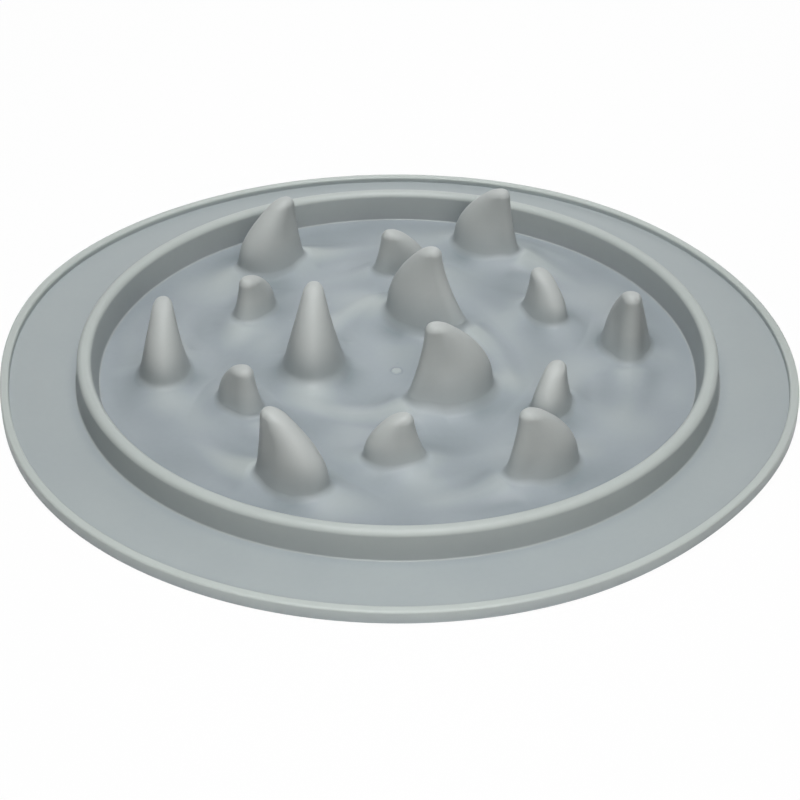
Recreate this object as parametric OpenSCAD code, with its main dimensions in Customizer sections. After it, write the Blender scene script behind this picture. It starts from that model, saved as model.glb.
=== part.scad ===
// Slow feeder mat: a round silicone mat with a walled dish and three circling rings of swept-back fins.
// Millimetres, +Z up, the origin at the middle of the flat underside.

/* [Mat] */
// Diameter over the rim
mat_d = 300; // [285:1:340]
// Width of the flat apron round the dish
apron_w = 25.1; // [12:0.1:35]
// Thickness of the apron
apron_t = 2.6; // [2:0.1:4]
// Round on the rim's lower edge
rim_round = 0.6; // [0.2:0.1:1]

/* [Edge bead] */
// Width of the raised bead round the rim
bead_w = 3.4; // [2:0.1:6]
// Height of the bead above the apron
bead_rise = 2.4; // [1.8:0.1:5]
// Round on the bead's two top edges
bead_round = 0.8; // [0.3:0.1:1.4]
// Fillet between the bead and the apron
bead_fillet = 0.3; // [0.1:0.1:0.9]

/* [Dish wall] */
// Width of the wall at its top
wall_w = 5.4; // [4.6:0.1:9]
// Height of the wall above the table
wall_h = 13.8; // [11:0.1:25]
// Lean of the wall's inner side between its fillet and its top
wall_lean_in = 2; // [0:0.1:4]
// Lean of the wall's outer side between its fillet and its top
wall_lean_out = 0.8; // [0:0.1:3]
// Round on the wall's two top edges
wall_round = 2.2; // [0.5:0.1:2.6]
// Fillet between the wall and the dish floor
wall_fillet_in = 0.6; // [0.3:0.1:4]
// Fillet between the wall and the apron
wall_fillet_out = 0.6; // [0.3:0.1:3]

/* [Dish floor] */
// Thickness of the floor under the fins
floor_t = 2.6; // [2:0.1:5]

/* [Fin shape] */
// Height of the swell of water that each fin rises from
swell_h = 3.6; // [1:0.1:5]
// Reach of the swell from the fin's root
swell_w = 4.5; // [2:0.1:6]
// How far the swell trails behind the fin as a wake
wake_l = 12; // [4:0.5:16]
// Width of the wake's round end
wake_w = 8; // [4:0.5:12]
// Width of the flare at the fin's root
flare_w = 0.4; // [0.1:0.1:2]
// Height over which the flare dies away
flare_h = 1; // [0.5:0.1:3]
// Length of the tip from front to back
tip_l = 5; // [3:0.1:7]
// Width of the tip
tip_w = 6.2; // [3:0.1:7]
// Height of the tip's round cap
cap_h = 3.1; // [1:0.1:5]
// Width of the blunt trailing edge at the root
tail_w = 12; // [5:0.1:13]
// Length of the section's round nose for its width
nose_stretch = 1.45; // [0.8:0.05:1.6]
// How full the leading edge is: 1 is straight, and more bulges forward
nose_power = 2; // [1:0.1:3]
// How hollow the trailing edge is: 1 is straight, and more curves in
tail_power = 1.7; // [1:0.05:2.5]
// How full the flanks are: 1 is straight, and more bulges out
flank_power = 1.05; // [1:0.05:2]

/* [Outer fins] */
// Gap between the outer fins' roots and the foot of the wall
outer_gap = 15.4; // [10:0.1:20]
// Length of an outer fin at its root
outer_l = 28; // [20:0.5:32]
// Width of an outer fin at its root
outer_w = 18; // [12:0.5:21]
// Height of an outer fin above its swell
outer_h = 27; // [15:0.5:45]
// How far forward an outer fin's trailing edge leans
outer_sweep = 4; // [0:0.5:8]
// Angle of the first outer fin
outer_phase = 6; // [0:1:12]
// Heading of the outer fins from straight outward
outer_heading = 85; // [75:1:100]
// How far the second outer fin stands outside its ring
outer_stray = 5.5; // [0:0.5:6]

/* [Middle fins] */
// Radius of the middle ring, as a share of the outer ring
middle_share = 0.748; // [0.65:0.001:0.85]
// Length of a middle fin at its root
middle_l = 21.5; // [15:0.5:25]
// Width of a middle fin at its root
middle_w = 13.5; // [8:0.5:16]
// Height of a middle fin above its swell
middle_h = 17.5; // [12:0.5:35]
// How far forward a middle fin's trailing edge leans
middle_sweep = 3.5; // [0:0.5:6]
// Angle of the first middle fin
middle_phase = 29; // [25:1:33]
// Heading of the middle fins from straight outward
middle_heading = -84; // [-100:1:-75]

/* [Inner fins] */
// Radius of the inner ring, as a share of the outer ring
inner_share = 0.352; // [0.25:0.001:0.45]
// Length of an inner fin at its root
inner_l = 33.5; // [24:0.5:36]
// Width of an inner fin at its root
inner_w = 22; // [14:0.5:24]
// Height of an inner fin above its swell
inner_h = 31; // [18:0.5:50]
// How far forward an inner fin's trailing edge leans
inner_sweep = 9; // [0:0.5:12]
// Angle of the first inner fin
inner_phase = 69; // [60:1:80]
// Heading of the inner fins from straight outward
inner_heading = 78; // [70:1:95]

/* [Hidden] */
$fn = 96;
ARC_STEPS = 6;
OUTER_COUNT = 6;
MIDDLE_COUNT = 6;
INNER_COUNT = 3;

// Radii from the rim inwards, and heights over the table.
mat_r = mat_d / 2;
apron_out_r = mat_r - bead_w - bead_fillet;
apron_in_r = apron_out_r - apron_w;
wall_r = apron_in_r - wall_fillet_out - wall_lean_out;
dish_r = wall_r - wall_w;
floor_r = dish_r - wall_lean_in - wall_fillet_in;
bead_h = apron_t + bead_rise;
outer_r = floor_r - outer_gap - outer_w / 2;
middle_r = outer_r * middle_share;
inner_r = outer_r * inner_share;

// Fins are described as [length, width, height, sweep].
OUTER = [outer_l, outer_w, outer_h, outer_sweep];
MIDDLE = [middle_l, middle_w, middle_h, middle_sweep];
INNER = [inner_l, inner_w, inner_h, inner_sweep];

// Shape of the loft: points round the nose and the tail of a section, and the section's places up the fin.
NOSE_STEPS = 12;
TAIL_STEPS = 10;
SECTION_POINTS = NOSE_STEPS + TAIL_STEPS + 2;
// A short section is drawn out less, and its tail stays narrower than its nose, so that the flanks exist.
LEAST_STRETCH = 0.45;
TAIL_LIMIT = 0.98;
// The swell's rings are [share of its height, share of its reach].
SWELL_RINGS = [[0, 1], [0.55, 0.42]];
BODY_RINGS = [0, 0.03, 0.08, 0.16, 0.28, 0.42, 0.57, 0.72, 0.87, 1];
CAP_RINGS = [30, 55, 76];

SILICONE = [0.63, 0.67, 0.67];
SILICONE_FIN = [0.66, 0.68, 0.66];

// Points of an arc round a centre, from one angle to another.
function arc(centre, radius, from, to, steps = ARC_STEPS) = [
    for (i = [0 : steps])
        let (a = from + (to - from) * i / steps)
        centre + radius * [cos(a), sin(a)]
];

// Outline of a fin across its height: a round nose and a blunt tail joined by flat flanks.
// Both ends are circles drawn out along the fin by the same stretch, so the flanks are their tangents.
function section(tail_x, nose_x, half_w, tail_r, z) =
    let (
        stretch = min(nose_stretch, LEAST_STRETCH * (nose_x - tail_x) / half_w),
        end_r = min(tail_r, TAIL_LIMIT * half_w),
        nose_c = nose_x / stretch - half_w,
        tail_c = tail_x / stretch + end_r,
        lean = asin((half_w - end_r) / (nose_c - tail_c)),
        flat = concat(
            arc([nose_c, 0], half_w, -90 - lean, 90 + lean, NOSE_STEPS),
            arc([tail_c, 0], end_r, 90 + lean, 270 - lean, TAIL_STEPS)
        )
    )
    [for (p = flat) [p.x * stretch, p.y, z]];

function lerp(a, b, share) = a + (b - a) * share;

// Section of the fin's body at a share of its height, drawn in by the cap.
function body_section(fin, share, cap = 1) =
    let (
        root_l = fin[0],
        tip_tail = fin[3] - root_l / 2,
        flare = flare_w * exp(-share * fin[2] / flare_h),
        tail_x = lerp(tip_tail, -root_l / 2, pow(1 - share, tail_power)) - flare,
        nose_x = lerp(root_l / 2, tip_tail + tip_l, pow(share, nose_power)) + flare,
        half_w = lerp(fin[1] / 2, tip_w / 2, pow(share, flank_power)) + flare,
        tail_r = lerp(tail_w / 2, tip_w / 2, share) + flare,
        middle = (nose_x + tail_x) / 2,
        z = swell_h + share * fin[2]
    )
    [for (p = section(tail_x, nose_x, half_w, tail_r, z)) [middle + (p.x - middle) * cap, p.y * cap, z]];

// Section of the swell at a share of its height, spread out from the root and trailing behind as a wake.
function swell_section(fin, share, spread) =
    let (
        reach = flare_w + spread * swell_w,
        tail_x = -fin[0] / 2 - reach - spread * wake_l,
        nose_x = fin[0] / 2 + reach,
        tail_r = lerp(tail_w / 2 + flare_w, wake_w / 2, spread)
    )
    section(tail_x, nose_x, fin[1] / 2 + reach, tail_r, share * swell_h);

// All the rings of points of a fin from its swell to its cap.
function fin_rings(fin) =
    let (cap_start = 1 - cap_h / fin[2])
    concat(
        [for (s = SWELL_RINGS) swell_section(fin, s[0], s[1])],
        [for (b = BODY_RINGS) body_section(fin, b * cap_start)],
        [
            for (a = CAP_RINGS)
                let (share = cap_start + (1 - cap_start) * sin(a))
                body_section(fin, share, cap = cos(a))
        ]
    );

// A fin heading along +X, standing on z = 0.
module fin_body(fin) {
    rings = fin_rings(fin);
    n = SECTION_POINTS;
    last = len(rings) - 1;
    apex_x = fin[3] - fin[0] / 2 + tip_l / 2;
    points = concat([for (ring = rings) each ring], [[apex_x, 0, swell_h + fin[2]]]);
    sides = [
        for (k = [0 : last - 1], i = [0 : n - 1])
            let (
                a = k * n + i,
                b = k * n + (i + 1) % n
            )
            each [[a, a + n, b + n], [a, b + n, b]]
    ];
    cap = [for (i = [0 : n - 1]) [last * n + i, (last + 1) * n, last * n + (i + 1) % n]];
    base = [[for (i = [0 : n - 1]) i]];
    polyhedron(points, concat(base, sides, cap));
}

// A fin at its place in a ring: angle round the dish, radius, and heading from straight outward.
module ring_fin(fin, angle, radius, heading) {
    rotate(angle)
        translate([radius, 0, floor_t])
            rotate(heading)
                fin_body(fin);
}

module outer_fin(i) {
    radius = i == 2 ? outer_r + outer_stray : outer_r;
    color(SILICONE_FIN)
        ring_fin(OUTER, outer_phase + (i - 1) * 360 / OUTER_COUNT, radius, outer_heading);
}

module middle_fin(i) {
    color(SILICONE_FIN)
        ring_fin(MIDDLE, middle_phase + (i - 1) * 360 / MIDDLE_COUNT, middle_r, middle_heading);
}

module inner_fin(i) {
    color(SILICONE_FIN)
        ring_fin(INNER, inner_phase + (i - 1) * 360 / INNER_COUNT, inner_r, inner_heading);
}

module apron() {
    color(SILICONE)
        rotate_extrude()
            translate([apron_in_r, 0])
                square([apron_out_r - apron_in_r, apron_t]);
}

module edge_bead() {
    bead_in_r = mat_r - bead_w;
    profile = concat(
        [[apron_out_r, 0]],
        arc([apron_out_r, apron_t + bead_fillet], bead_fillet, -90, 0),
        arc([bead_in_r + bead_round, bead_h - bead_round], bead_round, 180, 90),
        arc([mat_r - bead_round, bead_h - bead_round], bead_round, 90, 0),
        arc([mat_r - rim_round, rim_round], rim_round, 0, -90)
    );
    color(SILICONE)
        rotate_extrude()
            polygon(profile);
}

module dish_wall() {
    profile = concat(
        [[floor_r, 0]],
        arc([floor_r, floor_t + wall_fillet_in], wall_fillet_in, -90, 0),
        arc([dish_r + wall_round, wall_h - wall_round], wall_round, 180, 90),
        arc([wall_r - wall_round, wall_h - wall_round], wall_round, 90, 0),
        arc([apron_in_r, apron_t + wall_fillet_out], wall_fillet_out, 180, 270),
        [[apron_in_r, 0]]
    );
    color(SILICONE)
        rotate_extrude()
            polygon(profile);
}

module dish_floor() {
    color(SILICONE)
        cylinder(r = floor_r, h = floor_t);
}

apron();
edge_bead();
dish_wall();
dish_floor();
for (i = [1 : OUTER_COUNT]) outer_fin(i);
for (i = [1 : MIDDLE_COUNT]) middle_fin(i);
for (i = [1 : INNER_COUNT]) inner_fin(i);
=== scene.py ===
# %% [markdown]
# # A slow feeder mat in soft silicone
# The real object is one moulding: a flat apron with a beaded rim, a walled dish, and fifteen swept-back
# fins that rise out of a floor shaped like water. It could be sculpted as one skin, but the frame holds it
# as nineteen solids, so each solid gets a finer piece of its own here, and neighbours meet with the same
# slope so that no seam shows.

# %% Load the frame
import math

import bpy
import numpy as np
from mathutils import Matrix, Vector


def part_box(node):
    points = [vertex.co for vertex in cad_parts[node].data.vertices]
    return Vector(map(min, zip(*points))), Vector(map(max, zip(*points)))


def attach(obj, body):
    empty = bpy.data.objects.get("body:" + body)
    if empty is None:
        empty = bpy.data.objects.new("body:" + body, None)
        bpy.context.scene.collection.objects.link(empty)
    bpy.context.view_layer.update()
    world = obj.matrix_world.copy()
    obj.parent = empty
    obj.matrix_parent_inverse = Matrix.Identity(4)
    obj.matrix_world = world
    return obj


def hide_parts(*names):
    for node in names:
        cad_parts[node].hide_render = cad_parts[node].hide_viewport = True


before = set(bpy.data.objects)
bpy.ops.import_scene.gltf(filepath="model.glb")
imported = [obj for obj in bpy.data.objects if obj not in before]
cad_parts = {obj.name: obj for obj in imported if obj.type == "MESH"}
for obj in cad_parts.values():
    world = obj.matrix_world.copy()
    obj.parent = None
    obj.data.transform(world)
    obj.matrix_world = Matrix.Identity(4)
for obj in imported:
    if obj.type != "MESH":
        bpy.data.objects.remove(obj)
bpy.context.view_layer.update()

MM = 0.001
rim_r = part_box("edge_bead")[1].x
bead_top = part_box("edge_bead")[1].z
apron_out_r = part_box("apron")[1].x
apron_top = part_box("apron")[1].z
wall_foot_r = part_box("dish_wall")[1].x
wall_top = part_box("dish_wall")[1].z
floor_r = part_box("dish_floor")[1].x
floor_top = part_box("dish_floor")[1].z
for label, size in (("rim", rim_r), ("wall foot", wall_foot_r), ("floor", floor_r)):
    print(label, "radius", round(size / MM, 2), "mm")

# %% [markdown]
# ## Camera
# The photograph was taken with a long lens, from the front and about a third of the way up. Lens, height and
# distance come from fitting the rim, the bead and the wall as circles, so the render can be laid over the
# photograph.

# %% Place the camera
LENS, SENSOR_W = 95.76, 36
ELEVATION = math.radians(33.8)
ROLL = math.radians(0.2)
DISTANCE = 0.7895
TARGET = Vector((0.00089, -0.02075, 0))
NEAREST_SEEN = 0.01

camera = bpy.data.objects.new("camera", bpy.data.cameras.new("camera"))
camera.data.lens = LENS
camera.data.sensor_width = SENSOR_W
camera.data.clip_start = NEAREST_SEEN
camera.location = TARGET + DISTANCE * Vector((0, -math.cos(ELEVATION), math.sin(ELEVATION)))
camera_turn = Matrix.Rotation(math.pi / 2 - ELEVATION, 4, "X") @ Matrix.Rotation(ROLL, 4, "Z")
camera.rotation_euler = camera_turn.to_euler()
bpy.context.scene.collection.objects.link(camera)
bpy.context.scene.camera = camera
print("camera at", [round(c, 3) for c in camera.location])

# %% [markdown]
# ## Sums as nodes
# Shader trees and Geometry Nodes trees share the same Math node, and long formulas are hard to read as a
# web of links. This class wraps one output socket, so that a formula is written as a Python sum and each
# operator adds its node.

# %% A socket that can be added and multiplied
class Wire:
    """An output socket in a node tree that takes part in Python sums."""

    def __init__(self, tree, socket=None):
        self.tree, self.socket = tree, socket

    def node(self, kind, settings, sockets, out=0):
        """Add a node: its settings first, then the value or link of each named or numbered socket."""
        made = self.tree.nodes.new(kind)
        for key, value in settings.items():
            setattr(made, key, value)
        for key, value in sockets.items():
            if isinstance(value, Wire):
                self.tree.links.new(value.socket, made.inputs[key])
            else:
                made.inputs[key].default_value = value
        return Wire(self.tree, made.outputs[out]) if made.outputs else None

    def math(self, operation, *values, clamp=False):
        """Add a Math node on the given values."""
        sockets = dict(enumerate(values))
        return self.node("ShaderNodeMath", {"operation": operation, "use_clamp": clamp}, sockets)

    def __add__(self, other):
        return self.math("ADD", self, other)

    def __radd__(self, other):
        return self.math("ADD", other, self)

    def __sub__(self, other):
        return self.math("SUBTRACT", self, other)

    def __rsub__(self, other):
        return self.math("SUBTRACT", other, self)

    def __mul__(self, other):
        return self.math("MULTIPLY", self, other)

    def __rmul__(self, other):
        return self.math("MULTIPLY", other, self)

    def __truediv__(self, other):
        return self.math("DIVIDE", self, other)

    def __rtruediv__(self, other):
        return self.math("DIVIDE", other, self)

    def __pow__(self, other):
        return self.math("POWER", self, other)

    def sin(self):
        return self.math("SINE", self)

    def cos(self):
        return self.math("COSINE", self)

    def least(self, other):
        """The smaller of two values."""
        return self.math("MINIMUM", self, other)

    def over(self, limit):
        """1 where the value is over the limit, and 0 elsewhere."""
        return self.math("GREATER_THAN", self, limit)

    def share(self, start, end):
        """How far the value has come from start to end, kept between 0 and 1."""
        return self.math("DIVIDE", self - start, end - start, clamp=True)

    def between(self, start, end):
        """The value as a share of the way from start to end."""
        return start + (end - start) * self


print("sums ready:", [name for name in vars(Wire) if not name.startswith("__")])

# %% [markdown]
# ## Silicone
# Moulded silicone is satin: a soft grey that is never quite even, with a very fine grain from the mould and
# a few flecks of dust that cling to it. A picture could be wrapped round each piece, but one shader gives
# all of that from Object coordinates, so the grain has the same size on every piece and runs on across the
# joints. The fins are a paler grey than the mat, so their feet start in the mat's greys.

# %% The satin silicone finish
MIDDLE_TONE = 0.3
NOISE_MIDDLE = 0.5
DRIFT_SCALE, MOTTLE_SCALE, GRAIN_SCALE = 26.0, 420.0, 2600.0
DRIFT_LOW, DRIFT_HIGH = 0.3, 0.7
DRIFT_IN_TONE, MOTTLE_IN_TONE = 0.08, 0.06
DRIFT_IN_GLOSS, MOTTLE_IN_GLOSS = 0.08, 0.07
FLECK_SCALE, FLECK_R, FLECK_EDGE = 75.0, 0.010, 0.018
DUSTY_SCALE, DUSTY_OVER, DUST_COVER = 55.0, 0.66, 0.5
DUST_GREY = (0.62, 0.64, 0.63, 1)
GRAIN_IN_BUMP, BUMP_STRENGTH, BUMP_DEPTH = 0.6, 0.06, 0.4 * MM
SILICONE_IOR = 1.41


def silicone(name, greys, roughness, foot_greys=None):
    """A satin silicone of three greys, deep, middle and pale, with mould grain and clinging dust.

    Each piece keeps in its "tone" attribute how pale it is: edges and crests carry a painted highlight, and
    hollows carry painted shade. With foot_greys, its "grown" attribute says how far it has come from those
    greys to its own."""
    material = bpy.data.materials.new(name)
    material.use_nodes = True
    tree = material.node_tree
    tree.nodes.clear()
    make = Wire(tree)
    place = make.node("ShaderNodeTexCoord", {}, {}, out="Object")

    def noise(scale, detail, rough=0.5):
        settings = {"Vector": place, "Scale": scale, "Detail": detail, "Roughness": rough}
        return make.node("ShaderNodeTexNoise", {}, settings)

    def kept(attribute):
        return make.node("ShaderNodeAttribute", {"attribute_name": attribute}, {}, out="Fac")

    def mix(share, start, end):
        # A Mix node's colours are its sockets 6 and 7, and its mixed colour is output 2.
        return make.node("ShaderNodeMix", {"data_type": "RGBA"}, {0: share, 6: start, 7: end}, out=2)

    drift = noise(DRIFT_SCALE, detail=3.0, rough=0.55).share(DRIFT_LOW, DRIFT_HIGH)
    mottle = noise(MOTTLE_SCALE, detail=2.0)
    grain = noise(GRAIN_SCALE, detail=2.0)
    drifted, mottled = drift - NOISE_MIDDLE, mottle - NOISE_MIDDLE
    tone = kept("tone") + drifted * DRIFT_IN_TONE + mottled * MOTTLE_IN_TONE
    low, high = tone.share(0.0, MIDDLE_TONE), tone.share(MIDDLE_TONE, 1.0)

    def ramp(deep, middle, pale):
        return mix(high, mix(low, deep, middle), pale)

    grey = ramp(*greys)
    if foot_greys:
        grey = mix(kept("grown"), ramp(*foot_greys), grey)
    fleck_field = {"Vector": place, "Scale": FLECK_SCALE, "Randomness": 1.0}
    flecks = make.node("ShaderNodeTexVoronoi", {"feature": "F1"}, fleck_field)
    dusty = noise(DUSTY_SCALE, detail=0.0).over(DUSTY_OVER)
    dust = (1.0 - flecks.share(FLECK_R, FLECK_EDGE)) * dusty * DUST_COVER
    relief = grain * GRAIN_IN_BUMP + mottle * (1.0 - GRAIN_IN_BUMP)
    bump_sockets = {"Height": relief, "Strength": BUMP_STRENGTH, "Distance": BUMP_DEPTH}
    surface = make.node("ShaderNodeBsdfPrincipled", {}, {
        "Base Color": mix(dust, grey, DUST_GREY),
        "Roughness": roughness + MOTTLE_IN_GLOSS * mottled + DRIFT_IN_GLOSS * drifted,
        "IOR": SILICONE_IOR,
        "Normal": make.node("ShaderNodeBump", {}, bump_sockets),
    })
    make.node("ShaderNodeOutputMaterial", {}, {"Surface": surface})
    return material


# %% Greys of the mat, its wall and its fins
MAT_GREYS = (0.205, 0.243, 0.258, 1), (0.289, 0.328, 0.354, 1), (0.473, 0.520, 0.502, 1)
WALL_GREYS = (0.225, 0.246, 0.252, 1), (0.302, 0.330, 0.337, 1), (0.473, 0.520, 0.502, 1)
FIN_GREYS = (0.280, 0.318, 0.335, 1), (0.345, 0.379, 0.386, 1), (0.500, 0.524, 0.510, 1)
MAT_ROUGHNESS, FIN_ROUGHNESS = 0.45, 0.46
mat_finish = silicone("mat_silicone_satin", MAT_GREYS, MAT_ROUGHNESS)
wall_finish = silicone("wall_silicone_satin", WALL_GREYS, MAT_ROUGHNESS)
fin_finish = silicone("fin_silicone_satin", FIN_GREYS, FIN_ROUGHNESS, MAT_GREYS)
print("finishes", mat_finish.name, wall_finish.name, fin_finish.name)

# %% [markdown]
# ## Apron, bead and wall
# These three are turned shapes. A Screw modifier could spin them, but a small function that sweeps a closed
# profile round the axis keeps the mesh plain, closed and even, and the round edges are exact arcs in the
# profile. The sweep also moves the outer points a little, because a soft mat never lies quite flat or quite
# round.

# %% Make a piece that rides with the mat
CREASE = math.radians(40)


def finish_piece(name, mesh, finish, node):
    """Make a smooth-shaded piece that stands for its CAD node and rides with the mat."""
    mesh.validate()
    mesh.materials.clear()
    mesh.materials.append(finish)
    mesh.polygons.foreach_set("use_smooth", [True] * len(mesh.polygons))
    mesh.set_sharp_from_angle(angle=CREASE)
    piece = bpy.data.objects.new(name, mesh)
    bpy.context.scene.collection.objects.link(piece)
    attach(piece, "root")
    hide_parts(node)
    print(name, len(mesh.vertices), "points,", len(mesh.polygons), "faces")
    return piece


def mat_piece(name, points, faces, tones, finish, node):
    """Make a piece of the mat itself from its points, its faces and the tone at each point."""
    mesh = bpy.data.meshes.new(name)
    mesh.from_pydata([tuple(p) for p in points], [], faces)
    mesh.attributes.new("tone", "FLOAT", "POINT").data.foreach_set("value", tones)
    return finish_piece(name, mesh, finish, node)


# %% How the soft rim lies
# Each place has its middle angle and its spread in degrees, and how far the rim has moved there.
LIFTS = [(164, 30, 3.5 * MM), (325, 22, 1.8 * MM)]
DRAWS = [(190, 17, 1.6 * MM), (30, 20, 1.0 * MM), (314, 18, 0.8 * MM), (92, 22, 1.0 * MM)]
SWAY_POWER = 1.5


def rim_sway(r, angle, places):
    """How far the soft apron has moved at a radius and an angle: all at the rim, nothing at the wall."""
    share = max(r - wall_foot_r, 0) / (rim_r - wall_foot_r)
    sway = 0
    for middle, spread, amount in places:
        off = (math.degrees(angle) - middle + 180) % 360 - 180
        sway += amount * math.exp(-(off / spread) ** 2)
    return sway * share ** SWAY_POWER


def soft_spot(r, z, angle):
    """A point of a profile once the soft rim has curled off the table and been drawn in a little."""
    reach = r - rim_sway(r, angle, DRAWS)
    return (reach * math.cos(angle), reach * math.sin(angle), z + rim_sway(r, angle, LIFTS))


print("rim lifted by up to", max(amount for _, _, amount in LIFTS) / MM, "mm")

# %% Sweep a profile round the axis
TURN_STEPS, ARC_STEPS, RUN_STEPS = 360, 14, 24


def arc(centre, radius, start, end):
    """Points of an arc in a profile, with its angles in degrees."""
    angles = np.radians(np.linspace(start, end, ARC_STEPS + 1))
    return [(centre[0] + radius * math.cos(a), centre[1] + radius * math.sin(a)) for a in angles]


def run(start, end):
    """Evenly spaced points of a straight run in a profile, with both its ends."""
    return [tuple(point) for point in np.linspace(start, end, RUN_STEPS + 1)]


def turned(name, profile, tone, node, finish=mat_finish):
    """Sweep a closed profile, listed anticlockwise as seen with the axis on the left, into a ring."""
    n = len(profile)
    angles = np.arange(TURN_STEPS) * 2 * math.pi / TURN_STEPS
    points = [soft_spot(r, z, a) for a in angles for r, z in profile]
    tones = [tone(r, z) for r, z in profile] * TURN_STEPS
    faces = []
    for i in range(TURN_STEPS):
        a, b = i * n, (i + 1) % TURN_STEPS * n
        faces += [(a + k, b + k, b + (k + 1) % n, a + (k + 1) % n) for k in range(n)]
    return mat_piece(name, points, faces, tones, finish, node)


def soft_step(value, start, end):
    """A smooth climb from 0 at the start to 1 at the end."""
    t = np.clip((value - start) / (end - start), 0, 1)
    return t * t * (3 - 2 * t)


def painted_top_highlight(z, top, side_tone, top_tone, highlight_from, highlight_to):
    """The tone of a side with a painted highlight near its top, from one depth below the top to another."""
    return side_tone + (top_tone - side_tone) * soft_step(z, top - highlight_from, top - highlight_to)


# %% The apron
APRON_TONE = 0.54
# Painted shade on the apron beside the foot of the wall, and how far out from the foot it reaches.
FOOT_SHADE, FOOT_SHADE_W = 0.14, 4 * MM
apron_profile = run((wall_foot_r, 0), (apron_out_r, 0))
apron_profile += run((apron_out_r, apron_top), (wall_foot_r, apron_top))


def apron_tone(r, z):
    """Even, but deeper right beside the foot of the wall, in painted shade."""
    return APRON_TONE - FOOT_SHADE * (1 - soft_step(r, wall_foot_r, wall_foot_r + FOOT_SHADE_W))


turned("apron_sheet", apron_profile, apron_tone, "apron")

# %% The bead round the rim
BEAD_W = 3.4 * MM
BEAD_ROUND, RIM_ROUND = 0.8 * MM, 0.6 * MM
BEAD_TOP_TONE = 1.0
# Depths below the top of the bead where its painted highlight starts and where it is full.
BEAD_HIGHLIGHT_FROM, BEAD_HIGHLIGHT_TO = 1.4 * MM, 0.4 * MM
bead_in_r = rim_r - BEAD_W
bead_fillet = bead_in_r - apron_out_r
bead_profile = [(apron_out_r, 0)]
bead_profile += arc((rim_r - RIM_ROUND, RIM_ROUND), RIM_ROUND, -90, 0)
bead_profile += arc((rim_r - BEAD_ROUND, bead_top - BEAD_ROUND), BEAD_ROUND, 0, 90)
bead_profile += arc((bead_in_r + BEAD_ROUND, bead_top - BEAD_ROUND), BEAD_ROUND, 90, 180)
bead_profile += arc((apron_out_r, apron_top + bead_fillet), bead_fillet, 0, -90)


def bead_tone(r, z):
    """A painted highlight on top, and as the apron below."""
    return painted_top_highlight(z, bead_top, APRON_TONE, BEAD_TOP_TONE, BEAD_HIGHLIGHT_FROM, BEAD_HIGHLIGHT_TO)


turned("rim_bead", bead_profile, bead_tone, "edge_bead")

# %% The wall of the dish
WALL_FILLET = 0.6 * MM
WALL_LEAN_IN, WALL_LEAN_OUT = 2.0 * MM, 0.8 * MM
WALL_ROUND = 2.2 * MM
# Painted light and shade on the wall: its inner side is deep, its outer side lighter and its top pale.
WALL_IN_TONE, WALL_OUT_TONE, WALL_TOP_TONE = 0.30, 0.46, 0.86
# Depths below the top of the wall where its painted highlight starts and where it is full.
WALL_HIGHLIGHT_FROM, WALL_HIGHLIGHT_TO = 3.2 * MM, 0.8 * MM
wall_in_r = floor_r + WALL_FILLET + WALL_LEAN_IN
wall_out_r = wall_foot_r - WALL_FILLET - WALL_LEAN_OUT
wall_middle_r = (wall_in_r + wall_out_r) / 2
wall_profile = [(floor_r, 0), (wall_foot_r, 0)]
wall_profile += arc((wall_foot_r, apron_top + WALL_FILLET), WALL_FILLET, -90, -180)
wall_profile += arc((wall_out_r - WALL_ROUND, wall_top - WALL_ROUND), WALL_ROUND, 0, 90)
wall_profile += arc((wall_in_r + WALL_ROUND, wall_top - WALL_ROUND), WALL_ROUND, 90, 180)
wall_profile += arc((floor_r, floor_top + WALL_FILLET), WALL_FILLET, 0, -90)


def wall_tone(r, z):
    """A painted highlight on top, and painted shade down the sides: deep down the inner side and less so
    down the outer one.
    """
    side_tone = WALL_IN_TONE if r < wall_middle_r else WALL_OUT_TONE
    return painted_top_highlight(z, wall_top, side_tone, WALL_TOP_TONE, WALL_HIGHLIGHT_FROM, WALL_HIGHLIGHT_TO)


turned("dish_wall_ring", wall_profile, wall_tone, "dish_wall", wall_finish)

# %% [markdown]
# ## Where the fins swim
# The fins circle the dish in three rings, the outer and inner ones one way and the middle one the other. The
# water and the fins both need each fin's place and heading, so the rings come first. Single soft fins lean,
# droop or stand a little aside, by what the photograph shows of each.

# %% Three rings of fins
OUTER_GAP, OUTER_W = 15.4 * MM, 18 * MM
MIDDLE_SHARE, INNER_SHARE = 0.748, 0.352
outer_r = floor_r - OUTER_GAP - OUTER_W / 2
RINGS = {
    "outer": {
        "count": 6, "radius": outer_r, "phase": 6, "heading": 85,
        "length": 28 * MM, "width": OUTER_W, "height": 27 * MM, "sweep": 3.3 * MM, "fillet": 2.4 * MM,
    },
    "middle": {
        "count": 6, "radius": outer_r * MIDDLE_SHARE, "phase": 29, "heading": -84,
        "length": 21.5 * MM, "width": 13.5 * MM, "height": 17.5 * MM, "sweep": 3 * MM, "fillet": 2.0 * MM,
    },
    "inner": {
        "count": 3, "radius": outer_r * INNER_SHARE, "phase": 69, "heading": 78,
        "length": 33.5 * MM, "width": 22 * MM, "height": 31 * MM, "sweep": 8.3 * MM, "fillet": 3.6 * MM,
    },
}
print("rings at", [round(ring["radius"] / MM, 2) for ring in RINGS.values()], "mm")

# %% Each fin's place, heading and size
STRAY_FIN, STRAY = "outer_fin_2", 5.5 * MM
SOFT_LEAN_MM = {
    "inner_fin_1": 2.6, "inner_fin_3": -1.8, "outer_fin_2": 0.8, "outer_fin_5": -1.0, "outer_fin_6": 1.0,
    "middle_fin_4": 1.2, "middle_fin_5": 1.0,
}
SOFT_DROP_MM = {
    "outer_fin_1": 0.8, "outer_fin_4": 0.8, "outer_fin_6": 1.6, "middle_fin_3": 1.3, "middle_fin_4": 0.8,
    "middle_fin_6": 0.9,
}
SOFT_SHIFT_MM = {
    "outer_fin_2": (-1.9, 0), "outer_fin_5": (-0.8, 0), "outer_fin_6": (-0.8, 0), "inner_fin_2": (-1.0, 1.0),
}


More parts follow.
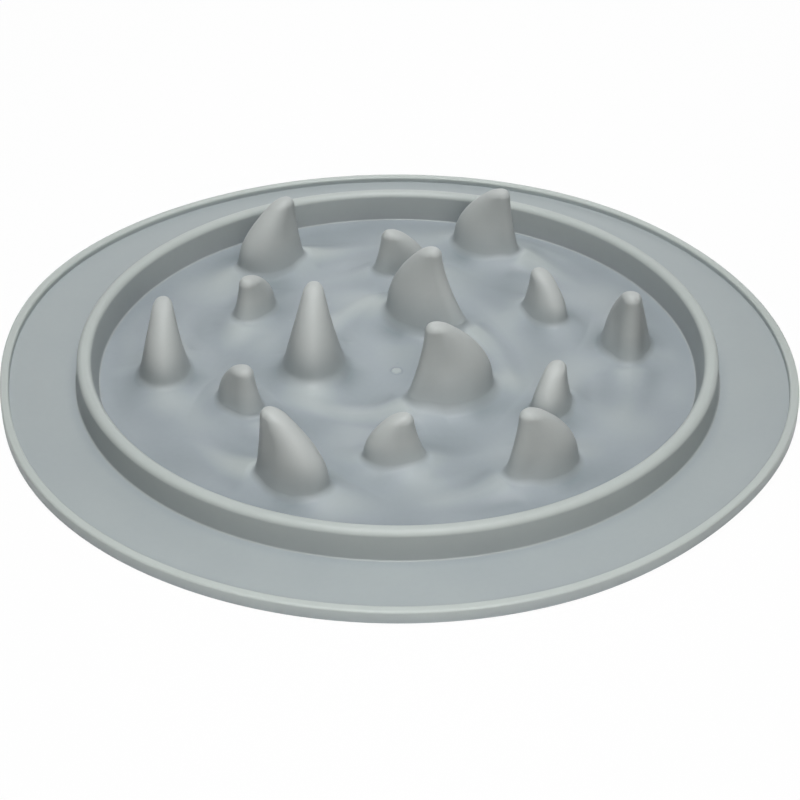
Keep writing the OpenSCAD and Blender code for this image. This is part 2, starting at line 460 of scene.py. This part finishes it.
def place_fin(ring_name, i):
    """The place, heading and size of the fin with that number in its ring."""
    ring, node = RINGS[ring_name], f"{ring_name}_fin_{i}"
    angle = math.radians(ring["phase"] + (i - 1) * 360 / ring["count"])
    radius = ring["radius"] + (STRAY if node == STRAY_FIN else 0)
    shift_x, shift_y = SOFT_SHIFT_MM.get(node, (0, 0))
    return {
        "node": node,
        "x": radius * math.cos(angle) + shift_x * MM,
        "y": radius * math.sin(angle) + shift_y * MM,
        "yaw": angle + math.radians(ring["heading"]),
        "bend": math.copysign(1 / radius, ring["heading"]),
        "length": ring["length"],
        "width": ring["width"],
        "height": ring["height"] - SOFT_DROP_MM.get(node, 0) * MM,
        "sweep": ring["sweep"] + SOFT_LEAN_MM.get(node, 0) * MM,
        "fillet": ring["fillet"],
    }


fins = [place_fin(name, i) for name, ring in RINGS.items() for i in range(1, ring["count"] + 1)]
print(len(fins), "fins, from", fins[0]["node"], "to", fins[-1]["node"])

# %% [markdown]
# ## The water floor
# The floor is a shallow relief of water: it climbs to each fin in a swell, dips in a moat round it, and
# trails a tongue with a groove on each side behind it, bent along the ring that the fin swims in. A texture
# could fake this, but the light shows every slope, so the relief is a height that is worked out for each
# point of a fine round grid.

# %% The water round one fin
# The swell climbs to the fin's own outline, whose round ends are stretched along the fin.
SWELL_H, SWELL_REACH, SWELL_POWER = 3.6 * MM, 6.5 * MM, 1.5
TAIL_W, END_STRETCH = 12 * MM, 1.4
LARGE_FIN_H = RINGS["outer"]["height"]
# The moat is deepest at a bearing off the heading, in degrees, and the bib lies right ahead.
DIP_BEARING, DIP_SPREAD, DIP_GAIN, DIP_LOSS = 72, 36, 1.05, 0.12
MOAT_D, MOAT_OFF, MOAT_W = 1.3 * MM, 1.5 * MM, 6.0 * MM
BIB_H, BIB_OFF, BIB_W, BIB_SPREAD = 0.6 * MM, 4 * MM, 6 * MM, 30
# The tongue narrows along the trail, and part of its width is the same behind every fin.
TRAIL_L, TRAIL_START = 36 * MM, 3.5 * MM
TONGUE_H, TONGUE_HALF, TONGUE_TAPER, TONGUE_EDGE = 0.95 * MM, 7.2 * MM, 4.8 * MM, 2.6 * MM
TONGUE_SAME = 0.7
CROWN_DROP, CROWN_POWER = 0.55, 0.9
GROOVE_D, GROOVE_OFF, GROOVE_W = 0.4 * MM, 3.4 * MM, 3.0 * MM


def hump(value, middle, spread):
    """A smooth bump, 1 at the middle."""
    return np.exp(-((value - middle) / spread) ** 2)


def fin_water(fin, x, y):
    """Swell of one fin, what it stirs up around it, and how far each point is from its outline."""
    c, s = math.cos(fin["yaw"]), math.sin(fin["yaw"])
    ahead = c * (x - fin["x"]) + s * (y - fin["y"])
    left = -s * (x - fin["x"]) + c * (y - fin["y"])
    half_l, half_w, tail = fin["length"] / 2, fin["width"] / 2, TAIL_W / 2
    tail_c, nose_c = -half_l + tail * END_STRETCH, half_l - half_w * END_STRETCH
    along = np.clip((ahead - tail_c) / (nose_c - tail_c), 0, 1)
    beyond = (ahead - tail_c - along * (nose_c - tail_c)) / END_STRETCH
    away = np.maximum(np.hypot(beyond, left) - (tail + (half_w - tail) * along), 0)
    size = fin["height"] / LARGE_FIN_H
    swell = SWELL_H * np.exp(-(away / SWELL_REACH) ** SWELL_POWER)

    bearing = np.degrees(np.abs(np.arctan2(left, ahead - nose_c)))
    dips = DIP_GAIN * hump(bearing, DIP_BEARING, DIP_SPREAD) - DIP_LOSS
    moat = -MOAT_D * size * dips * hump(away, MOAT_OFF, MOAT_W)
    bib = BIB_H * size * hump(bearing, 0, BIB_SPREAD) * hump(away, BIB_OFF, BIB_W)

    behind = np.maximum(-ahead - half_l, 0)
    across = np.abs(left - fin["bend"] * behind ** 2 / 2)
    trail = np.clip(behind / (TRAIL_L * size), 0, 1)
    half = (TONGUE_HALF - TONGUE_TAPER * trail) * (TONGUE_SAME + (1 - TONGUE_SAME) * size)
    begun = soft_step(behind, 0, TRAIL_START) * (1 - trail)
    crown = 1 - CROWN_DROP * np.clip(across / half, 0, 1) ** CROWN_POWER
    inside = 1 - soft_step(across, half - TONGUE_EDGE, half + TONGUE_EDGE)
    tongue = TONGUE_H * size * begun * crown * inside
    groove = -GROOVE_D * size * begun * hump(across, half + GROOVE_OFF, GROOVE_W)
    return swell, moat + bib + tongue + groove, away


# %% The height of the water
# Each slow wave has a height, and the lengths along X and Y in mm and the phase that wave() takes.
WAVE_1_H, WAVE_1 = 0.20 * MM, (7.9, 13.1, 0.6)
WAVE_2_H, WAVE_2 = 0.17 * MM, (12.7, -7.1, 2.1)
RIPPLE_H, RIPPLE, RIPPLE_PATCHES = 0.12 * MM, (5.3, 6.9, 4.0), (17.0, -11.0, 0)
SHORE_W = 7 * MM
CALM_W, CALM_LEAST = 3 * MM, 0.5
GATE_X, GATE_Y = -0.4 * MM, -5.0 * MM
GATE_H, GATE_TOP_R, GATE_FOOT_R = 0.2 * MM, 1.6 * MM, 2.0 * MM
GATE_RING_D, GATE_RING_R, GATE_RING_W = 0.12 * MM, 2.3 * MM, 0.4 * MM
GATE_IN_TONE = 4


def wave(x, y, x_mm, y_mm, phase):
    """A wave that moves on by one radian in each of these lengths along X and Y."""
    return np.sin(x / (x_mm * MM) + y / (y_mm * MM) + phase)


def gate_mark(x, y):
    """The small round mark in the middle, where the silicone came into the mould."""
    off = np.hypot(x - GATE_X, y - GATE_Y)
    plug = GATE_H * (1 - soft_step(off, GATE_TOP_R, GATE_FOOT_R))
    return plug - GATE_RING_D * hump(off, GATE_RING_R, GATE_RING_W)


def water(x, y):
    """Height of the floor and how far it is stirred: still water, slow waves, and what every fin adds."""
    stir = WAVE_1_H * wave(x, y, *WAVE_1) + WAVE_2_H * wave(x, y, *WAVE_2)
    stir += RIPPLE_H * wave(x, y, *RIPPLE) * wave(x, y, *RIPPLE_PATCHES)
    climb, near = np.zeros_like(x), np.full_like(x, floor_r)
    for fin in fins:
        swell, rest, away = fin_water(fin, x, y)
        climb, near = np.maximum(climb, swell), np.minimum(near, away)
        stir = stir + rest
    shore = 1 - soft_step(np.hypot(x, y), floor_r - SHORE_W, floor_r)
    calm = CALM_LEAST + (1 - CALM_LEAST) * soft_step(near, 0, CALM_W)
    gate = gate_mark(x, y)
    return floor_top + (climb + stir * calm) * shore + gate, stir * shore + GATE_IN_TONE * gate


# %% The floor as a round grid
GRID_RINGS, GRID_SPOKES = 150, 540
# The floor's tone follows its stir: painted shade in the dips, moats and grooves, painted light on the
# crests, tongues and bibs.
STIR_LEVELS = [-1.25 * MM, 0, 1.0 * MM]
STIR_TONES = [0.0, 0.30, 0.68]
around = np.arange(GRID_SPOKES) * 2 * math.pi / GRID_SPOKES
outwards = np.linspace(0, floor_r, GRID_RINGS + 1)[1:]
grid_x, grid_y = np.outer(outwards, np.cos(around)), np.outer(outwards, np.sin(around))
heights, stirred = water(grid_x, grid_y)
middle_height = float(water(np.zeros(1), np.zeros(1))[0][0])

points = list(zip(grid_x.ravel(), grid_y.ravel(), heights.ravel()))
last = len(points) - GRID_SPOKES
middle, under, foot = len(points), len(points) + 1, len(points) + 2
points += [(0, 0, middle_height), (0, 0, 0)]
points += [(floor_r * math.cos(a), floor_r * math.sin(a), 0) for a in around]
faces = []
for k in range(0, last, GRID_SPOKES):
    for i in range(GRID_SPOKES):
        a, b = k + i, k + (i + 1) % GRID_SPOKES
        faces.append((a, a + GRID_SPOKES, b + GRID_SPOKES, b))
for i in range(GRID_SPOKES):
    j = (i + 1) % GRID_SPOKES
    faces += [(middle, i, j), (last + i, foot + i, foot + j, last + j), (under, foot + j, foot + i)]
tones = np.full(len(points), MIDDLE_TONE)
tones[:stirred.size] = np.interp(stirred.ravel(), STIR_LEVELS, STIR_TONES)
floor_piece = mat_piece("water_floor", points, faces, tones, mat_finish, "dish_floor")
print("water from", round(heights.min() / MM, 2), "to", round(heights.max() / MM, 2), "mm")

# %% [markdown]
# ## The fins
# All fifteen fins follow one rule: a section with a round nose, flat flanks and a blunt tail, which shrinks,
# sweeps back and closes in a small dome as it rises. Fifteen sculpted copies would drift apart, so a
# Geometry Nodes tree bends a plain cylinder into the rule, with each size as a named input. Its foot is
# dropped on the water by a raycast, so the root meets the floor at the floor's own slope and in the floor's
# own tone, and grows into the fin over a fillet.

# %% The rule of a fin
FIN_SIZES = [
    "Length", "Width", "Height", "Sweep", "Tip Length", "Tip Width", "Cap Height", "Tail Width",
    "Nose Stretch", "Nose Power", "Tail Power", "Flank Power", "Flare Width", "Flare Height", "Root Fillet",
    "Root Level", "Place X", "Place Y", "Heading",
]
# Shares of the cylinder's height where the buried foot, the fillet and the body end, and the dome begins.
FOOT, FILLET, BODY = 0.06, 0.2, 0.84
# Shares of half a turn where the round nose and the flat flank end, and the round tail begins.
NOSE, FLANK = 0.46, 0.62
FOOT_REACH, FOOT_SINK = 1.0 * MM, 0.35 * MM
MIDWAY = 0.5
RISE_POWER, DOME_ARC, DOME_POWER = 1.4, math.radians(87), 0.7
TAIL_MOST, NOSE_MOST = 0.98, 0.45
ROOT_FADE, ROOT_FADE_POWER = 0.4, 2.0
# Painted light and shade on a fin: its tone grows paler up the flank and towards the tip, which leaves
# painted shade at its foot.
FLANK_PAINTED_LIGHT, TIP_PAINTED_LIGHT = 0.34, 0.12
RAY_FROM, RAY_LENGTH = 0.1, 0.2


def water_under(make, water_shape, x, y):
    """The height and the tone of the water under a point."""
    above = make.node("ShaderNodeCombineXYZ", {}, {0: x, 1: y, 2: RAY_FROM})
    floor_tone = make.node("GeometryNodeInputNamedAttribute", {"data_type": "FLOAT"}, {"Name": "tone"})
    drop = {"Target Geometry": water_shape, "Attribute": floor_tone, "Source Position": above,
            "Ray Direction": (0, 0, -1), "Ray Length": RAY_LENGTH}
    hit = make.node("GeometryNodeRaycast", {"data_type": "FLOAT"}, drop, out="Hit Position")
    tone = make.node("GeometryNodeRaycast", {"data_type": "FLOAT"}, drop, out="Attribute")
    return make.node("ShaderNodeSeparateXYZ", {}, {0: hit}, out="Z"), tone


def fin_section(make, size, rise, grow, turn):
    """The outline of a fin at each height, along and across its heading, and the middle of its length."""
    tip_tail = size["Sweep"] - size["Length"] / 2.0
    tip_half = size["Tip Width"] / 2.0
    tail_x = ((1.0 - rise) ** size["Tail Power"]).between(tip_tail, size["Length"] / -2.0) - grow
    nose_x = (rise ** size["Nose Power"]).between(size["Length"] / 2.0, tip_tail + size["Tip Length"]) + grow
    half_w = (rise ** size["Flank Power"]).between(size["Width"] / 2.0, tip_half) + grow
    tail_r = (rise.between(size["Tail Width"] / 2.0, tip_half) + grow).least(half_w * TAIL_MOST)

    stretch = size["Nose Stretch"].least(NOSE_MOST * (nose_x - tail_x) / half_w)
    nose_c = nose_x / stretch - half_w
    tail_c = tail_x / stretch + tail_r
    lean = make.math("ARCSINE", (half_w - tail_r) / (nose_c - tail_c))
    nose_a = turn.share(0.0, NOSE) * (lean + math.pi / 2)
    tail_a = turn.share(FLANK, 1.0).between(lean + math.pi / 2, math.pi)
    flank = turn.share(NOSE, FLANK)
    x = flank.between(nose_c + half_w * nose_a.cos(), tail_c + tail_r * tail_a.cos()) * stretch
    y = flank.between(half_w * nose_a.sin(), tail_r * tail_a.sin())
    return x, y, (nose_x + tail_x) / 2.0


def fin_rule(make, size, water_shape):
    """Where each point of a unit cylinder goes when it is bent into a fin, its tone, and how grown it is."""
    spot = make.node("GeometryNodeInputPosition", {}, {})
    px, py, pz = (make.node("ShaderNodeSeparateXYZ", {}, {0: spot}, out=axis) for axis in "XYZ")
    rim = (px * px + py * py).over(MIDWAY)
    up = (pz + 1.0) / 2.0
    turn = make.math("ABSOLUTE", make.math("ARCTAN2", py, px)) / math.pi

    height, flare_w, flare_h = size["Height"], size["Flare Width"], size["Flare Height"]
    fillet_end = make.math("ARCTAN2", flare_h, flare_w)
    buried = 1.0 - up.share(0.0, FOOT)
    grown = up.share(FOOT, FILLET)
    fillet = grown * fillet_end
    cap_start = 1.0 - size["Cap Height"] / height
    dome = up.share(BODY, 1.0) * DOME_ARC
    rise = cap_start * up.share(FILLET, BODY) ** RISE_POWER + (1.0 - cap_start) * dome.sin()
    rise = rim * rise + (1.0 - rim) * up.over(MIDWAY)
    draw_in = dome.cos() ** DOME_POWER * rim

    skirt = size["Root Fillet"] * (fillet_end.sin() - fillet.sin()) + buried * FOOT_REACH
    grow = skirt + flare_w * make.math("EXPONENT", 0.0 - rise * height / flare_h)
    x, y, centre = fin_section(make, size, rise, grow, turn)
    x = centre + (x - centre) * draw_in
    y = y * make.math("SIGN", py) * draw_in
    c, s = size["Heading"].cos(), size["Heading"].sin()
    out_x = size["Place X"] + c * x - s * y
    out_y = size["Place Y"] + s * x + c * y

    water_z, water_tone = water_under(make, water_shape, out_x, out_y)
    up_flank = rise.share(0.0, ROOT_FADE)
    settle = (water_z - size["Root Level"]) * (1.0 - up_flank) ** ROOT_FADE_POWER
    lift = size["Root Fillet"] * (1.0 - fillet.cos()) * (1.0 - rise) - buried * buried * FOOT_SINK
    out_z = size["Root Level"] + rise * height + lift + settle
    # The foot takes the floor's tone, its painted shade included, and the fin grows paler upwards with
    # painted light.
    tone = grown.between(water_tone, MIDDLE_TONE + up_flank * FLANK_PAINTED_LIGHT + rise * TIP_PAINTED_LIGHT)
    return make.node("ShaderNodeCombineXYZ", {}, {0: out_x, 1: out_y, 2: out_z}), tone, grown


# %% The tree that forms a fin
FIN_SIDES, FIN_STEPS = 144, 100


def add_input(tree, name, kind):
    """Add an input to a tree, and give the key that sets it on a modifier."""
    return tree.interface.new_socket(name=name, in_out="INPUT", socket_type=kind).identifier


def fin_tree():
    """The tree that bends a cylinder into a fin, and the key of each of its inputs."""
    tree = bpy.data.node_groups.new("fin_form", "GeometryNodeTree")
    tree.interface.new_socket(name="Geometry", in_out="OUTPUT", socket_type="NodeSocketGeometry")
    keys = {name: add_input(tree, name, "NodeSocketFloat") for name in FIN_SIZES}
    keys["Water"] = add_input(tree, "Water", "NodeSocketObject")
    keys["Finish"] = add_input(tree, "Finish", "NodeSocketMaterial")
    make = Wire(tree)
    entry = tree.nodes.new("NodeGroupInput")
    size = {name: Wire(tree, entry.outputs[name]) for name in keys}
    water_object = {"Object": size["Water"]}
    in_place = {"transform_space": "ORIGINAL"}
    water_shape = make.node("GeometryNodeObjectInfo", in_place, water_object, out="Geometry")
    blank = {"Vertices": FIN_SIDES, "Side Segments": FIN_STEPS, "Fill Segments": 1}
    blank.update({"Radius": 1.0, "Depth": 2.0})
    shape = make.node("GeometryNodeMeshCylinder", {"fill_type": "TRIANGLE_FAN"}, blank)
    spot, tone, grown = fin_rule(make, size, water_shape)
    at_points = {"data_type": "FLOAT", "domain": "POINT"}
    for name, value in (("tone", tone), ("grown", grown)):
        stored = {"Geometry": shape, "Name": name, "Value": value}
        shape = make.node("GeometryNodeStoreNamedAttribute", at_points, stored)
    shape = make.node("GeometryNodeSetPosition", {}, {"Geometry": shape, "Position": spot})
    shape = make.node("GeometryNodeRealizeInstances", {}, {0: shape})
    shape = make.node("GeometryNodeSetMaterial", {}, {"Geometry": shape, "Material": size["Finish"]})
    make.node("NodeGroupOutput", {}, {0: shape})
    return tree, keys


fin_form, fin_keys = fin_tree()
print("fin tree with", len(fin_form.nodes), "nodes")

# %% Form the fifteen fins
FIN_SHAPE = {
    "Tip Length": 6.5 * MM, "Tip Width": 6.3 * MM, "Cap Height": 3.0 * MM, "Tail Width": TAIL_W,
    "Nose Stretch": 1.45, "Nose Power": 2.0, "Tail Power": 1.7, "Flank Power": 1.05,
    "Flare Width": 0.2 * MM, "Flare Height": 1.0 * MM, "Root Level": floor_top + SWELL_H,
}

for fin in fins:
    blank = bpy.data.objects.new("fin_blank", bpy.data.meshes.new("fin_blank"))
    bpy.context.scene.collection.objects.link(blank)
    form = blank.modifiers.new("form", "NODES")
    form.node_group = fin_form
    sizes = dict(FIN_SHAPE, Length=fin["length"], Width=fin["width"], Height=fin["height"])
    sizes.update({"Sweep": fin["sweep"], "Root Fillet": fin["fillet"]})
    sizes.update({"Place X": fin["x"], "Place Y": fin["y"], "Heading": fin["yaw"]})
    for name, value in sizes.items():
        form[fin_keys[name]] = value
    form[fin_keys["Water"]] = floor_piece
    form[fin_keys["Finish"]] = fin_finish
    view = bpy.context.evaluated_depsgraph_get()
    mesh = bpy.data.meshes.new_from_object(blank.evaluated_get(view))
    bpy.data.objects.remove(blank)
    piece_name = fin["node"].replace("_fin_", "_swept_fin_")
    finish_piece(piece_name, mesh, fin_finish, fin["node"])

# %% [markdown]
# ## Studio
# A product picture like this one is lit by a long, narrow soft light overhead, with a grid that keeps its
# light in a fan, by a warm fill beside the camera and by a weak one behind. One broad light would be
# simpler, but with nothing bright at the sides the flanks of the fins go dark, as they do in the photograph.
# The table is plain white paper: the camera sees it as white, and it still takes the mat's soft shadow.

# %% The table
PAPER = (0.76, 0.77, 0.78, 1)
WHITE = (1, 1, 1, 1)
# The share of white in what is seen of the paper. The rest is lit paper, and takes the shadow.
SEEN_WHITE = 0.975
TABLE_HALF, TABLE_DROP = 4.0, 0.2 * MM


def seen_rays(tree):
    """1 for the rays that show the background: to the camera, in gloss and through glass."""
    light_path = tree.nodes.new("ShaderNodeLightPath")
    seen = Wire(tree, light_path.outputs["Is Camera Ray"])
    for name in ("Is Glossy Ray", "Is Transmission Ray"):
        seen = seen.math("MAXIMUM", seen, Wire(tree, light_path.outputs[name]))
    return seen


def stage_paper():
    """Paper that lights the mat as paper does, and that is seen as nearly all white."""
    material = bpy.data.materials.new("white_paper")
    material.use_nodes = True
    tree = material.node_tree
    tree.nodes.clear()
    make = Wire(tree)
    paper = make.node("ShaderNodeBsdfDiffuse", {}, {"Color": PAPER})
    white = make.node("ShaderNodeEmission", {}, {"Color": WHITE, "Strength": 1.0})
    mixed = make.node("ShaderNodeMixShader", {}, {0: seen_rays(tree) * SEEN_WHITE, 1: paper, 2: white})
    make.node("ShaderNodeOutputMaterial", {}, {"Surface": mixed})
    return material


corners = [(TABLE_HALF * x, TABLE_HALF * y, 0) for x, y in ((-1, -1), (1, -1), (1, 1), (-1, 1))]
table_mesh = bpy.data.meshes.new("table")
table_mesh.from_pydata(corners, [], [(0, 1, 2, 3)])
table_mesh.materials.append(stage_paper())
table = bpy.data.objects.new("table", table_mesh)
table.location.z = -TABLE_DROP
bpy.context.scene.collection.objects.link(table)
print("table", 2 * TABLE_HALF, "m wide")

# %% Lights
WARM = (1.0, 0.95, 0.91)


def softbox(name, place, aim, width, depth, power, colour=(1, 1, 1), fan=180):
    """A rectangular lamp; fan is the angle in degrees that its grid lets light out in."""
    lamp = bpy.data.lights.new(name, "AREA")
    lamp.shape, lamp.size, lamp.size_y = "RECTANGLE", width, depth
    lamp.energy, lamp.color, lamp.spread = power, colour, math.radians(fan)
    box = bpy.data.objects.new(name, lamp)
    box.location = place
    box.rotation_euler = (Vector(aim) - Vector(place)).to_track_quat("-Z", "Y").to_euler()
    bpy.context.scene.collection.objects.link(box)
    print(name, "of", power, "W")


softbox("top_softbox", place=(0, -0.16, 0.95), aim=(0, -0.02, 0), width=0.16, depth=1.2, power=1.8, fan=60)
softbox("front_fill", place=(0.2, -1.18, 0.6), aim=(0, 0, 0), width=0.6, depth=0.6, power=4.5, colour=WARM)
softbox("back_fill", place=(0, 1.3, 0.6), aim=(0, 0, 0), width=0.6, depth=0.6, power=1.4)

# %% The air round the table
AIR, AIR_STRENGTH = (0.9, 0.95, 1.0, 1), 0.03
world = bpy.data.worlds.new("studio_air")
bpy.context.scene.world = world
world.use_nodes = True
world.node_tree.nodes.clear()
make = Wire(world.node_tree)
air = make.node("ShaderNodeBackground", {}, {"Color": AIR, "Strength": AIR_STRENGTH})
white = make.node("ShaderNodeBackground", {}, {"Color": WHITE, "Strength": 1.0})
mixed = make.node("ShaderNodeMixShader", {}, {0: seen_rays(world.node_tree), 1: air, 2: white})
make.node("ShaderNodeOutputWorld", {}, {"Surface": mixed})
bpy.context.scene.view_settings.view_transform = "Standard"
print("air of strength", AIR_STRENGTH)

# %% [markdown]
